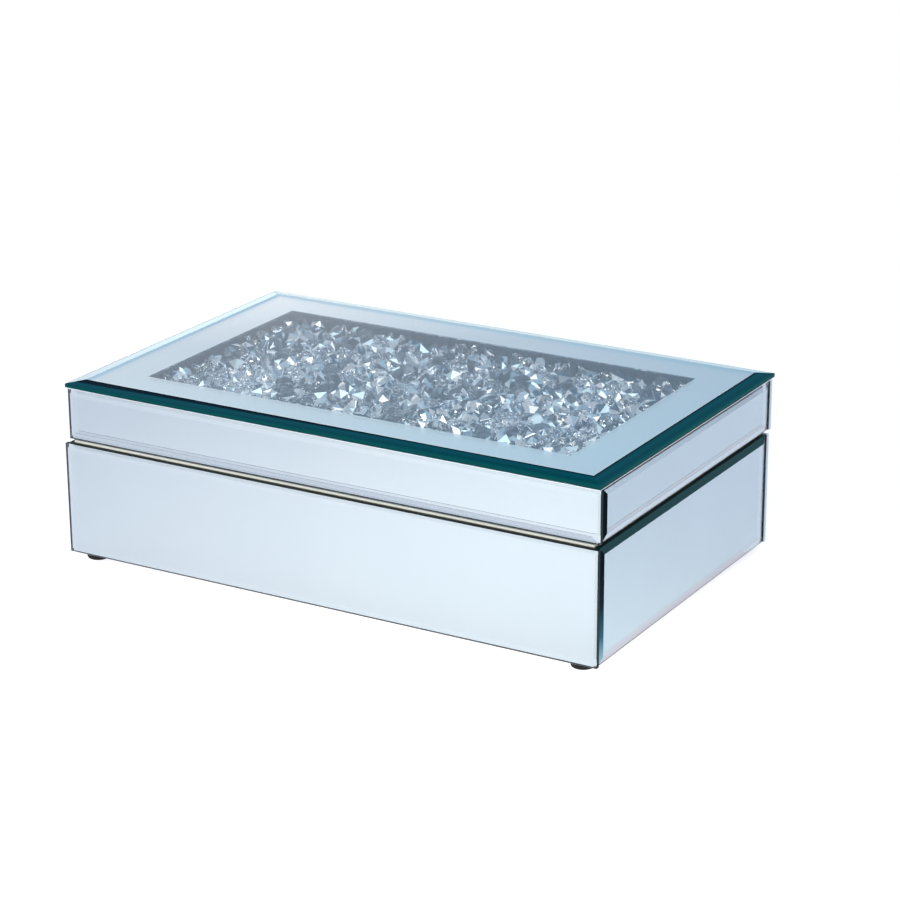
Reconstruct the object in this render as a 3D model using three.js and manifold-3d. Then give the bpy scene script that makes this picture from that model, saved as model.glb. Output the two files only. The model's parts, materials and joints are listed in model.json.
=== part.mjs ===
// A mirror-clad trinket box: a velvet-lined box of fibreboard faced with bevelled mirrored
// glass, and a hinged lid whose top plate looks down into a shallow tray of loose crystals.
// Millimetres. +X runs along the front to the right, +Y to the back, +Z up. The origin is
// under the middle of the closed box, on the surface that it stands on.
import * as THREE from 'three';
import { ConvexGeometry } from 'three/addons/geometries/ConvexGeometry.js';
import { mergeVertices } from 'three/addons/utils/BufferGeometryUtils.js';
import Module from 'manifold-3d';

const manifold = await Module();
manifold.setup();

// ---- driving dimensions ----
const LENGTH = 278; // along X, over the top plate and over the base
const PLATE_DEPTH = 175; // along Y, over the top plate
const BASE_DEPTH = 174; // the base is a little shallower than the plate
const BASE_FORWARD = 3; // how far the base's middle sits in front of the lid's middle
const FOOT_HEIGHT = 3.5;
const FOOT_RADIUS = 6;
const FOOT_TAPER = 0.6;
const FOOT_INSET_X = 10.5; // from the base's ends to a foot's centre
const FOOT_INSET_Y = 8.5; // from the base's front and back to a foot's centre
const BASE_HEIGHT = 53.7; // of the base's glass sides
const LID_GAP = 1.4; // between the base's glass and the lid's
const LID_HEIGHT = 25.2; // from the lid's lower edge to the plate's underside
const PLATE_THICKNESS = 3;
const PLATE_BEVEL = 7;
const PLATE_BEVEL_DROP = 1.2;
const WINDOW_LENGTH = 222;
const WINDOW_DEPTH = 122;
const PLATE_OVERHANG = 0.5; // past the lid's glass sides, all round

const GLASS = 3; // thickness of the mirrored side panels
const SIDE_BEVEL = 3.5;
const SIDE_BEVEL_DROP = 0.8;
const BOARD = 9; // thickness of the fibreboard walls and rails
const GLUE = 0.3; // room left at every glued face
const SILVER = 0.2; // the mirrored film on the plate's underside
const LINING = 1; // velvet on card
const RIM_LINING = 1.1; // velvet wrapped over the base's rim
const FELT = 0.7;
const FLOOR_BOARD = 6;
const FLOOR_PAD = 4.4;
const LID_PAD = 3;
const LID_PAD_RECESS = 1; // how far the lid's pad sits above the rails' lower faces
const INNER_BOARD = 3;
const TRAY_MIRROR = 2;
const TRAY_WALL = 3;
const TRAY_CLEARANCE = 1; // the tray's walls stand just outside the clear window
const CRYSTAL_DEPTH = 13.5;
const PAD_CLEARANCE = 0.6;

const HINGE_SPREAD = 80; // from the middle to each hinge, along X
const HINGE_WIDTH = 30;
const HINGE_LEAF = 0.5;
const HINGE_LEAF_GAP = 0.2; // between the two closed leaves
const HINGE_LEAF_DEPTH = 15.7; // from the pin to the leaf's inner edge
const KNUCKLES = 5;
const KNUCKLE_GAP = 0.3;
const TONGUE_LAP = 0.4; // how far a knuckle's tongue laps onto its leaf
const BARREL_RADIUS = 1.6;
const PIN_RADIUS = 0.82;
const PIN_HOLE_RADIUS = 0.9;
const BARREL_CLEARANCE = 1; // between the barrel and the flat part of either leaf
const PIN_BEHIND_LID = 2.2; // from the lid's back face to the pin's middle
const PIN_PAST_BARREL = 0.3; // at each end
const SCREW_SPREAD = 10;
const SCREW_LENGTH = 8;
const SCREW_POINT = 2;
const SCREW_HEAD_RADIUS = 1.7;
const SCREW_RADIUS = 0.8;
const SCREW_ROOM = 0.3;
const CUT_PAST = 1; // how far a cutter runs past the face that it opens
const ROUND_SIDES = 24;

// ---- levels and outlines worked out from them ----
const baseTop = FOOT_HEIGHT + BASE_HEIGHT;
const lidBottom = baseTop + LID_GAP;
const plateBottom = lidBottom + LID_HEIGHT;
const boardTop = baseTop - GLUE;
const feltBottom = FOOT_HEIGHT + GLUE;
const floorBottom = feltBottom + FELT + GLUE;
const wallBottom = floorBottom + FLOOR_BOARD + GLUE;
const silverBottom = plateBottom - GLUE - SILVER;
const lidSideTop = silverBottom - GLUE;
const lidPadBottom = lidBottom + LID_PAD_RECESS;
const innerBoardBottom = lidPadBottom + LID_PAD + GLUE;
const trayMirrorBottom = innerBoardBottom + INNER_BOARD + GLUE;
const trayFloor = trayMirrorBottom + TRAY_MIRROR + GLUE;
const pinHeight = (baseTop + lidBottom) / 2;

const lidLength = LENGTH - 2 * PLATE_OVERHANG;
const lidDepth = PLATE_DEPTH - 2 * PLATE_OVERHANG;
const pinBack = lidDepth / 2 + PIN_BEHIND_LID;
const baseFront = -BASE_FORWARD - BASE_DEPTH / 2;
const overallBack = pinBack + BARREL_RADIUS;
const middle = (baseFront + overallBack) / 2; // moves the origin to the middle of the whole

// ---- materials ----
const paint = (color, roughness, metalness) =>
  new THREE.MeshStandardMaterial({ color, roughness, metalness });

const finish = {
  mirror: () => paint(0xdce9f2, 0.05, 1),
  topGlass: () => {
    const glass = paint(0xd6ece8, 0.05, 0);
    glass.transparent = true;
    glass.opacity = 0.3;
    return glass;
  },
  silver: () => paint(0xc3d2dd, 0.12, 1),
  crystal: () => paint(0xe8eef3, 0.08, 0.2),
  board: () => paint(0xa98a63, 0.8, 0),
  velvet: () => paint(0xf0e9d6, 0.95, 0),
  felt: () => paint(0x1d1d1f, 1, 0),
  rubber: () => paint(0x17181a, 0.7, 0),
  nickel: () => paint(0xc9c6bd, 0.25, 1),
  steel: () => paint(0xb5b8ba, 0.35, 1),
};

// ---- building blocks ----
const root = new THREE.Group();
root.position.y = -middle;

function addPiece(parent, name, geometry, material, x = 0, y = 0, z = 0) {
  const mesh = new THREE.Mesh(geometry, material);
  mesh.name = name;
  mesh.position.set(x, y, z);
  parent.add(mesh);
  return mesh;
}

// A plain board between two opposite corners.
function addBoard(parent, name, material, low, high) {
  const size = high.map((value, i) => value - low[i]);
  const centre = high.map((value, i) => (value + low[i]) / 2);
  return addPiece(parent, name, new THREE.BoxGeometry(...size), material, ...centre);
}

// A glass panel with its back on Z = 0 and its front edges ground to a mitred bevel.
function bevelledPanel(width, height, thickness, bevel, drop) {
  const points = [];
  const outline = (inset, z) => {
    for (const sx of [-1, 1]) {
      for (const sy of [-1, 1]) {
        points.push(new THREE.Vector3(sx * (width / 2 - inset), sy * (height / 2 - inset), z));
      }
    }
  };
  outline(0, 0);
  outline(0, thickness - drop);
  outline(bevel, thickness);
  return new ConvexGeometry(points);
}

function toSolid(geometry) {
  const bare = geometry.clone();
  bare.deleteAttribute('normal');
  bare.deleteAttribute('uv');
  const merged = mergeVertices(bare);
  return new manifold.Manifold(
    new manifold.Mesh({
      numProp: 3,
      vertProperties: new Float32Array(merged.attributes.position.array),
      triVerts: new Uint32Array(merged.index.array),
    }),
  );
}

function toGeometry(solid) {
  const mesh = solid.getMesh();
  const geometry = new THREE.BufferGeometry();
  geometry.setAttribute('position', new THREE.Float32BufferAttribute(mesh.vertProperties, 3));
  geometry.setIndex(new THREE.Uint32BufferAttribute(mesh.triVerts, 1));
  geometry.computeVertexNormals();
  return geometry;
}

const boxAt = (size, centre) => new THREE.BoxGeometry(...size).translate(...centre);

// A cylinder along X, for the hinge barrels and pins.
function rodAlongX(radius, length, x = 0) {
  const rod = new THREE.CylinderGeometry(radius, radius, length, ROUND_SIDES);
  return rod.rotateZ(Math.PI / 2).translate(x, 0, 0);
}

// ---- the four sides of a glass-clad frame ----
// The front and back panels run the whole length, and the side panels stand between them.
function addGlassSides(parent, prefix, length, depth, centreY, bottom, top) {
  const height = top - bottom;
  const sideDepth = depth - 2 * (GLASS + GLUE);
  const sides = [
    { name: 'front', width: length, turn: 0, x: 0, y: centreY - depth / 2 + GLASS },
    { name: 'back', width: length, turn: Math.PI, x: 0, y: centreY + depth / 2 - GLASS },
    { name: 'left', width: sideDepth, turn: -Math.PI / 2, x: -length / 2 + GLASS, y: centreY },
    { name: 'right', width: sideDepth, turn: Math.PI / 2, x: length / 2 - GLASS, y: centreY },
  ];
  for (const side of sides) {
    const panel = bevelledPanel(side.width, height, GLASS, SIDE_BEVEL, SIDE_BEVEL_DROP);
    panel.rotateX(Math.PI / 2);
    panel.rotateZ(side.turn);
    const name = `${prefix}_mirror_${side.name}`;
    addPiece(parent, name, panel, finish.mirror(), side.x, side.y, bottom + height / 2);
  }
}

// Four boards that stand in a rectangle: front and back at full length, the sides between.
function addFrame(parent, name, material, halfX, front, back, thickness, bottom, top) {
  const sides = {
    front: [[-halfX, front], [halfX, front + thickness]],
    back: [[-halfX, back - thickness], [halfX, back]],
    left: [[-halfX, front + thickness + GLUE], [-halfX + thickness, back - thickness - GLUE]],
    right: [[halfX - thickness, front + thickness + GLUE], [halfX, back - thickness - GLUE]],
  };
  const boards = {};
  for (const [side, [low, high]] of Object.entries(sides)) {
    boards[side] = addBoard(
      parent,
      `${name}_${side}`,
      material(),
      [...low, bottom],
      [...high, top],
    );
  }
  return boards;
}

// Takes the given cutters, placed in the box's own frame, out of a board.
function cutFrom(board, cutters) {
  let solid = toSolid(board.geometry.clone().translate(...board.position.toArray()));
  for (const cutter of cutters) {
    solid = solid.subtract(toSolid(cutter));
  }
  board.geometry = toGeometry(solid);
  board.position.set(0, 0, 0);
}

// ---- hinge parts, round a pin along X through the local origin ----
const leafLow = { base: -HINGE_LEAF_GAP / 2 - HINGE_LEAF, lid: HINGE_LEAF_GAP / 2 };
const knucklePitch = HINGE_WIDTH / KNUCKLES;
const leafEdge = -BARREL_RADIUS - BARREL_CLEARANCE;
const screwPlace = { base: -13, lid: -11 }; // along Y from the pin

// The countersunk hole through a leaf: wide at the face where the other leaf closes on it.
function screwHole(which, x) {
  const atFace = SCREW_HEAD_RADIUS + SCREW_ROOM / 2;
  const atBack = SCREW_HEAD_RADIUS - SCREW_ROOM;
  const hole = new THREE.CylinderGeometry(atFace, atBack, HINGE_LEAF + CUT_PAST / 10, ROUND_SIDES);
  hole.rotateX(which === 'base' ? Math.PI / 2 : -Math.PI / 2);
  return hole.translate(x, screwPlace[which], leafLow[which] + HINGE_LEAF / 2);
}

function hingeLeaf(which) {
  const leafMiddle = leafLow[which] + HINGE_LEAF / 2;
  const plateDepth = HINGE_LEAF_DEPTH + leafEdge;
  const plateMiddle = (leafEdge - HINGE_LEAF_DEPTH) / 2;
  let solid = toSolid(boxAt([HINGE_WIDTH, plateDepth, HINGE_LEAF], [0, plateMiddle, leafMiddle]));
  const length = knucklePitch - KNUCKLE_GAP;
  const reach = TONGUE_LAP - leafEdge;
  for (let i = which === 'base' ? 0 : 1; i < KNUCKLES; i += 2) {
    const x = (i - (KNUCKLES - 1) / 2) * knucklePitch;
    solid = solid.add(toSolid(boxAt([length, reach, HINGE_LEAF], [x, -reach / 2, leafMiddle])));
    solid = solid.add(toSolid(rodAlongX(BARREL_RADIUS, length, x)));
  }
  solid = solid.subtract(toSolid(rodAlongX(PIN_HOLE_RADIUS, HINGE_WIDTH + 2 * CUT_PAST)));
  for (const x of [-SCREW_SPREAD, SCREW_SPREAD]) {
    solid = solid.subtract(toSolid(screwHole(which, x)));
  }
  return toGeometry(solid);
}

// A countersunk wood screw whose head is flush with Z = 0 and whose point is below.
function screwGeometry() {
  const headDepth = SCREW_HEAD_RADIUS - SCREW_RADIUS;
  const profile = [
    [0, -SCREW_LENGTH],
    [SCREW_RADIUS, SCREW_POINT - SCREW_LENGTH],
    [SCREW_RADIUS, -headDepth],
    [SCREW_HEAD_RADIUS, 0],
    [0, 0],
  ];
  const outline = profile.map(([radius, height]) => new THREE.Vector2(radius, height));
  return new THREE.LatheGeometry(outline, ROUND_SIDES).rotateX(Math.PI / 2);
}

// The pilot hole for a screw, as a cutter between two heights.
function screwSocket(x, y, low, high) {
  const radius = SCREW_RADIUS + SCREW_ROOM;
  const hole = new THREE.CylinderGeometry(radius, radius, high - low, ROUND_SIDES);
  return hole.rotateX(Math.PI / 2).translate(x, y, (low + high) / 2);
}

// ---- the base ----
const base = new THREE.Group();
const lid = new THREE.Group();
root.add(base, lid);

const baseHalf = LENGTH / 2;
const baseBack = baseFront + BASE_DEPTH;
const skin = GLASS + GLUE;
const wallFront = baseFront + skin;
const wallBack = baseBack - skin;
const wallHalf = baseHalf - skin;
const liningInset = BOARD + GLUE;
const padInset = liningInset + LINING + GLUE;

addGlassSides(
  base, 'base', LENGTH, BASE_DEPTH, (baseFront + baseBack) / 2, FOOT_HEIGHT, baseTop,
);
addBoard(
  base, 'base_underside_felt', finish.felt(),
  [-wallHalf, wallFront, feltBottom], [wallHalf, wallBack, feltBottom + FELT],
);
addBoard(
  base, 'base_floor_board', finish.board(),
  [-wallHalf, wallFront, floorBottom], [wallHalf, wallBack, floorBottom + FLOOR_BOARD],
);
const walls = addFrame(
  base, 'base_wall', finish.board, wallHalf, wallFront, wallBack, BOARD, wallBottom, boardTop,
);
addFrame(
  base, 'base_lining', finish.velvet, wallHalf - liningInset,
  wallFront + liningInset, wallBack - liningInset, LINING, wallBottom, boardTop,
);
const rim = addFrame(
  base, 'rim_lining', finish.velvet, wallHalf, wallFront, wallBack,
  liningInset + LINING, baseTop, baseTop + RIM_LINING,
);
addBoard(
  base, 'floor_pad', finish.velvet(),
  [-wallHalf + padInset, wallFront + padInset, wallBottom],
  [wallHalf - padInset, wallBack - padInset, wallBottom + FLOOR_PAD],
);

for (const [sideX, nameX] of [[-1, 'left'], [1, 'right']]) {
  const x = sideX * (baseHalf - FOOT_INSET_X);
  const rows = { front: baseFront + FOOT_INSET_Y, back: baseBack - FOOT_INSET_Y };
  for (const [nameY, y] of Object.entries(rows)) {
    const radiusBelow = FOOT_RADIUS - FOOT_TAPER;
    const foot = new THREE.CylinderGeometry(FOOT_RADIUS, radiusBelow, FOOT_HEIGHT, ROUND_SIDES);
    foot.rotateX(Math.PI / 2);
    addPiece(base, `foot_${nameY}_${nameX}`, foot, finish.rubber(), x, y, FOOT_HEIGHT / 2);
  }
}

// ---- the lid ----
const railHalf = lidLength / 2 - skin;
const railBack = lidDepth / 2 - skin;
const wellHalf = railHalf - BOARD - GLUE;
const wellBack = railBack - BOARD - GLUE;
const trayHalf = WINDOW_LENGTH / 2 + TRAY_CLEARANCE;
const trayBack = WINDOW_DEPTH / 2 + TRAY_CLEARANCE;

addGlassSides(lid, 'lid', lidLength, lidDepth, 0, lidBottom, lidSideTop);
const rails = addFrame(
  lid, 'lid_rail', finish.board, railHalf, -railBack, railBack, BOARD, lidBottom, lidSideTop,
);
addBoard(
  lid, 'lid_lining_pad', finish.velvet(),
  [-wellHalf + PAD_CLEARANCE, -wellBack + PAD_CLEARANCE, lidPadBottom],
  [wellHalf - PAD_CLEARANCE, wellBack - PAD_CLEARANCE, lidPadBottom + LID_PAD],
);
addBoard(
  lid, 'lid_inner_board', finish.board(),
  [-wellHalf, -wellBack, innerBoardBottom], [wellHalf, wellBack, innerBoardBottom + INNER_BOARD],
);
addBoard(
  lid, 'tray_floor_mirror', finish.silver(),
  [-wellHalf, -wellBack, trayMirrorBottom], [wellHalf, wellBack, trayMirrorBottom + TRAY_MIRROR],
);
addFrame(
  lid, 'tray_wall', finish.silver, trayHalf + TRAY_WALL, -trayBack - TRAY_WALL,
  trayBack + TRAY_WALL, TRAY_WALL, trayFloor, lidSideTop,
);
addBoard(
  lid, 'crystal_bed', finish.crystal(),
  [-trayHalf + GLUE, -trayBack + GLUE, trayFloor],
  [trayHalf - GLUE, trayBack - GLUE, trayFloor + CRYSTAL_DEPTH],
);
addPiece(
  lid, 'top_plate',
  bevelledPanel(LENGTH, PLATE_DEPTH, PLATE_THICKNESS, PLATE_BEVEL, PLATE_BEVEL_DROP),
  finish.topGlass(), 0, 0, plateBottom,
);

const silverOutline = boxAt([LENGTH - 2 * GLUE, PLATE_DEPTH - 2 * GLUE, SILVER], [0, 0, 0]);
const silverWindow = boxAt([WINDOW_LENGTH, WINDOW_DEPTH, SILVER + CUT_PAST], [0, 0, 0]);
const silverBorder = toGeometry(toSolid(silverOutline).subtract(toSolid(silverWindow)));
const silverHeight = silverBottom + SILVER / 2;
addPiece(lid, 'top_silver_border', silverBorder, finish.silver(), 0, 0, silverHeight);

// ---- hinges, with their screws and the room cut for them ----
const wallCuts = [];
const rimCuts = [];
const railCuts = [];
for (const [side, name] of [[-1, 'left'], [1, 'right']]) {
  const x = side * HINGE_SPREAD;
  const pin = rodAlongX(PIN_RADIUS, HINGE_WIDTH + 2 * PIN_PAST_BARREL);
  addPiece(base, `hinge_${name}_pin`, pin, finish.steel(), x, pinBack, pinHeight);
  for (const [body, parent] of [['base', base], ['lid', lid]]) {
    const leaf = hingeLeaf(body);
    addPiece(parent, `hinge_${name}_${body}_leaf`, leaf, finish.nickel(), x, pinBack, pinHeight);
    const face = pinHeight + (body === 'base' ? leafLow.base + HINGE_LEAF : leafLow.lid);
    const y = pinBack + screwPlace[body];
    for (const [offset, label] of [[-SCREW_SPREAD, 'a'], [SCREW_SPREAD, 'b']]) {
      const screw = screwGeometry();
      const deepest = SCREW_LENGTH + GLUE;
      if (body === 'lid') {
        screw.rotateX(Math.PI);
        railCuts.push(screwSocket(x + offset, y, lidBottom - CUT_PAST, face + deepest));
      } else {
        wallCuts.push(screwSocket(x + offset, y, face - deepest, boardTop + CUT_PAST));
      }
      const screwName = `hinge_${name}_${body}_screw_${label}`;
      addPiece(parent, screwName, screw, finish.steel(), x + offset, y, face);
    }
  }
  const leafRoom = HINGE_WIDTH + 2 * SCREW_ROOM;
  const leafFront = pinBack - HINGE_LEAF_DEPTH - SCREW_ROOM;
  const notchDepth = wallBack + CUT_PAST - leafFront;
  const notchHeight = 2 * (RIM_LINING + CUT_PAST);
  rimCuts.push(boxAt([leafRoom, notchDepth, notchHeight], [x, leafFront + notchDepth / 2, baseTop]));
}
cutFrom(walls.back, wallCuts);
cutFrom(rim.back, rimCuts);
cutFrom(rails.back, railCuts);

export default root;
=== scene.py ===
import json
import math

import bmesh
import bpy
import numpy as np
from mathutils import Matrix, Quaternion, Vector, noise


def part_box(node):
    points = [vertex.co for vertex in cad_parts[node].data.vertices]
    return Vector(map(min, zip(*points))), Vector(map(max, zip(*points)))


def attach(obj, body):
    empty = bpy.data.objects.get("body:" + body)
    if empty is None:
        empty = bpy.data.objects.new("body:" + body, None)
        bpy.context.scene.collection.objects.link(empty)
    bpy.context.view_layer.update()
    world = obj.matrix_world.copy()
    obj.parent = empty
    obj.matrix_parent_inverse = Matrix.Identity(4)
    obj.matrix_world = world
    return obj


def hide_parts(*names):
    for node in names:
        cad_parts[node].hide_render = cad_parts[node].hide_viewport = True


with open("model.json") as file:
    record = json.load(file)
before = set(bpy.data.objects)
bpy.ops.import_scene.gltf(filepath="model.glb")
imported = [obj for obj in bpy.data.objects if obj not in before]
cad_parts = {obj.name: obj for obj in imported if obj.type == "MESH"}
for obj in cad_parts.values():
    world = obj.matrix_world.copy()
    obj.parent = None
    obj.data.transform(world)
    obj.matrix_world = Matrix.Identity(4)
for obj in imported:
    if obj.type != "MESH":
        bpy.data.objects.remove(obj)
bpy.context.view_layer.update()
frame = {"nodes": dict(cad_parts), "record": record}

# A mirror-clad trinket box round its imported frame, in metres: bevelled glass panels with
# silvered backs, a bevelled plate over a tray of loose crystals, velvet inside.

MM = 0.001
RNG = np.random.default_rng(7)

# ---- glass ----
PLATE_BEVEL = 7 * MM
PLATE_DROP = 1.2 * MM
SIDE_BEVEL = 3.5 * MM
SIDE_DROP = 0.8 * MM
ARRIS = 0.13 * MM
WINDOW = (222 * MM, 122 * MM)

# A panel's material slots. The glass itself is 0, and every panel has the next two.
BACK, EDGE = 1, 2
UPPER, FORWARD, LOWER, LINE = 3, 4, 5, 6  # a side panel's bevels, and the line above the lower one
NEAR, FAR, CLEAR_BACK = 3, 4, 5  # the plate's bevels, and the back of its window

# How a face's normal tells which part of a panel it is, with the panel lying on its back.
FLAT_BACK = -0.9
UPRIGHT = 0.2
LEVEL = 0.995
TILT = 0.05
ARRIS_TILT = 0.03
ARRIS_LEVEL = (0.996, 0.9998)

# ---- stage ----
GLOW_CENTRE = (0.06, -0.20, 0.0)
GLOW_REACH = 0.40
FLOOR_HALF = 5.0
CAMERA_AZIMUTH = 30.38
CAMERA_ELEVATION = 19.45
CAMERA_ROLL = -0.29
CAMERA_LENS = 114.7
CAMERA_DISTANCE = 1.339
CAMERA_DROP = 37.8 * MM  # from the plate's underside to the height that it turns round
CAMERA_ASIDE = 13.2 * MM
CAMERA_RAISE = 4.1 * MM

# ---- crystals ----
CRYSTAL_SIZES = (8.6 * MM, 10.4 * MM)
CRYSTAL_COUNT = 1150
CRYSTAL_REACH = 0.385  # a crystal's ball, as a part of its width
CRYSTAL_FACETS = 6
CRYSTAL_TABLE = 0.58  # of the girdle's radius; the next three are of the width
CRYSTAL_CROWN = 0.16
CRYSTAL_PAVILION = 0.42
CRYSTAL_GIRDLE = 0.015
FOILED_SHARE = 0.46
SMOKY_SHARE = 0.20
SPREAD = (0.7548776662, 0.5698402910)  # steps that fill a rectangle evenly
SPREAD_JITTER = 0.02
SETTLE_STEPS = 140
SETTLE_DROP = 0.25 * MM
SETTLE_PUSH = 0.42

# ---- soft pieces ----
CLOTH_FRAMES = 20
CLOTH_PRESSURE = 4.0
PAD_CELL = 3 * MM
PAD_SIDE_ROOM = 0.7 * MM
PAD_SEAM_INSET = 7 * MM
PAD_SEAM_DEPTH = 0.5 * MM
PAD_SEAM_WIDTH = 1.3 * MM
PAD_ROUND = 0.42  # the edge's radius, as a part of the thickness
PAD_RIPPLE = (0.25 * MM, 22 * MM)
BOARD_RIPPLE = (0.12 * MM, 30 * MM)
NOTCH_ROOM = 0.3 * MM

# ---- feet and hinges ----
FOOT_TAPER = 0.6 * MM
FOOT_ROUND = 0.9 * MM
FOOT_DIMPLE = 0.7 * MM
HINGE_LEAF = 0.5 * MM
HINGE_GAP = 0.2 * MM
HINGE_CLEARANCE = 1 * MM
LEAF_CORNER = 2.5 * MM
KNUCKLES = 5
KNUCKLE_GAP = 0.3 * MM
PIN_HOLE = 0.9 * MM
SCREW_SPREAD = 10 * MM
SCREW_PLACE = {"base": -13 * MM, "lid": -11 * MM}
SCREW_HEAD = 1.7 * MM
SCREW_SHANK = 0.8 * MM
SCREW_TURNS = 7
SCREW_ROOT = 0.72  # of the shank's radius
CROSS_SLOT = (1.0 * MM, 0.24 * MM, 0.62 * MM)  # half length, half width, depth
CROSS_TURN = 0.35


# ================================ node helpers ================================
class Nodes:
    """A small wrapper that adds and links a material's nodes."""

    def __init__(self, name):
        self.material = bpy.data.materials.new(name)
        self.material.use_nodes = True
        self.tree = self.material.node_tree
        self.tree.nodes.clear()
        self.out = self.tree.nodes.new("ShaderNodeOutputMaterial")

    def add(self, kind, inputs=None, **settings):
        node = self.tree.nodes.new("ShaderNode" + kind)
        for key, value in settings.items():
            setattr(node, key, value)
        for key, value in (inputs or {}).items():
            self.feed(node.inputs[key], value)
        return node

    def feed(self, socket, value):
        if isinstance(value, bpy.types.NodeSocket):
            self.tree.links.new(value, socket)
        elif isinstance(value, (tuple, list)) and socket.type == "RGBA":
            socket.default_value = (*value[:3], 1.0)
        else:
            socket.default_value = value

    def place(self):
        """Object coordinates: the row frame, because no piece is scaled."""
        return self.add("TexCoord").outputs["Object"]

    def noise(self, scale, detail=3.0, roughness=0.5, vector=None):
        vector = vector or self.place()
        inputs = {"Vector": vector, "Scale": scale, "Detail": detail, "Roughness": roughness}
        return self.add("TexNoise", inputs).outputs["Fac"]

    def between(self, factor, low, high):
        """A colour ramp from low to high over the factor."""
        ramp = self.add("ValToRGB", {"Fac": factor})
        ramp.color_ramp.elements[0].color = (*low, 1)
        ramp.color_ramp.elements[1].color = (*high, 1)
        return ramp.outputs["Color"]

    def remap(self, factor, low, high):
        inputs = {"Value": factor, "To Min": low, "To Max": high}
        return self.add("MapRange", inputs).outputs["Result"]

    def bump(self, height, strength, distance):
        inputs = {"Height": height, "Strength": strength, "Distance": distance}
        return self.add("Bump", inputs).outputs["Normal"]

    def principled(self, **inputs):
        shader = self.add("BsdfPrincipled")
        for key, value in inputs.items():
            self.feed(shader.inputs[key.replace("_", " ")], value)
        self.tree.links.new(shader.outputs[0], self.out.inputs["Surface"])
        return shader


# ================================ materials ================================
def tinted_glass(name, low, high, gleam=(1.0, 1.0, 1.0)):
    """Clear glass that tints what passes it. gleam tints what it reflects."""
    n = Nodes(name)
    n.principled(
        Base_Color=n.between(n.noise(35.0, 2.0), low, high),
        Transmission_Weight=1.0,
        Roughness=0.0,
        IOR=1.52,
        Specular_Tint=gleam,
    )
    return n.material


def opaque_painted_glass(name, low, high, gloss, rough=(0.30, 0.50)):
    """Opaque stand-in for glass that no light passes: ground edges, steep bevels. Its colour is
    painted:
    on ground edges the glass's own green with painted shade, and painted light on the back panels'
    edges; on steep bevels a painted dark reflection; on an arris a painted grey line.
    """
    n = Nodes(name)
    grain = n.noise(1200.0, 3.0)
    n.principled(
        Base_Color=n.between(grain, low, high),
        Roughness=n.remap(grain, *rough),
        Specular_IOR_Level=gloss,
        IOR=1.52,
    )
    return n.material


def painted_reflection_glass(name, place, stops, gloss=0.01):
    """Opaque dark glass colour that changes along a line: a painted reflection, graded by place.
    place adds the nodes that say how far along it a point lies, and stops are the colours on the
    way."""
    n = Nodes(name)
    grain = n.noise(1200.0, 3.0)
    ramp = n.add("ValToRGB", {"Fac": place(n)})
    elements = ramp.color_ramp.elements
    for _ in stops[2:]:
        elements.new(0.5)
    for element, (position, colour) in zip(elements, stops):
        element.position = position
        element.color = (*colour, 1)
    n.principled(
        Base_Color=ramp.outputs["Color"],
        Roughness=n.remap(grain, 0.04, 0.12),
        Specular_IOR_Level=gloss,
        IOR=1.52,
    )
    return n.material


def along(n, axis, start, end, low=0.0, high=1.0):
    """How far a point lies between two places on an axis, as low at the start to high."""
    split = n.add("SeparateXYZ", {0: n.place()})
    inputs = {"Value": split.outputs[axis], "From Min": start, "From Max": end}
    inputs.update({"To Min": low, "To Max": high})
    return n.add("MapRange", inputs).outputs["Result"]


def plate_slope(n):
    """0 at the plate's outer edge to 1 at the bevel's inner line, and more towards the left: where
    the near bevels' painted reflection bands lie.
    """
    low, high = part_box("top_plate")
    rise = along(n, "Z", high.z - PLATE_DROP, high.z)
    left = along(n, "X", low.x, 0.05, 0.42, 0.0)
    return n.add("Math", {0: rise, 1: left}, operation="ADD").outputs[0]


def corner_depth(n):
    """0 at the feet to 1 at the base's rim, and on upwards over the lid: the height that grades
    the corner bevels' painted reflection.
    """
    low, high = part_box("base_mirror_right")
    return along(n, "Z", low.z, high.z)


def silvering(name, low, high):
    """The silver behind the glass, faintly uneven as a real mirror is."""
    n = Nodes(name)
    cloud = n.noise(14.0, 3.0)
    n.principled(
        Base_Color=n.between(cloud, low, high),
        Metallic=1.0,
        Roughness=n.remap(n.noise(220.0, 2.0), 0.0, 0.02),
    )
    return n.material


def tray_foil():
    n = Nodes("tray_foil")
    grain = n.noise(90.0, 4.0)
    # Near-black navy, so the tray's walls read as the dark band behind the crystals.
    n.principled(
        Base_Color=n.between(grain, (0.006, 0.020, 0.045), (0.018, 0.042, 0.080)),
        Roughness=n.remap(grain, 0.35, 0.55),
        Specular_IOR_Level=0.2,
    )
    return n.material


def crystal(name, low, high, clear, metal, rough):
    """Cut acrylic, clear, foiled or smoky, each a little uneven in tone."""
    n = Nodes(name)
    tone = n.noise(60.0, 1.0)
    n.principled(
        Base_Color=n.between(tone, low, high),
        Transmission_Weight=clear,
        Metallic=metal,
        Roughness=n.remap(n.noise(400.0, 1.0), *rough),
        IOR=1.50,
    )
    return n.material


def fibreboard():
    n = Nodes("fibreboard")
    fibre = n.noise(900.0, 5.0, 0.65)
    patch = n.noise(60.0, 2.0)
    mix = n.add("Mix", {"Factor": 0.35}, data_type="FLOAT")
    n.feed(mix.inputs[2], fibre)
    n.feed(mix.inputs[3], patch)
    n.principled(
        Base_Color=n.between(mix.outputs[0], (0.30, 0.21, 0.12), (0.55, 0.42, 0.27)),
        Roughness=n.remap(fibre, 0.75, 0.95),
        Normal=n.bump(fibre, 0.3, 0.0003),
    )
    return n.material


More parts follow.
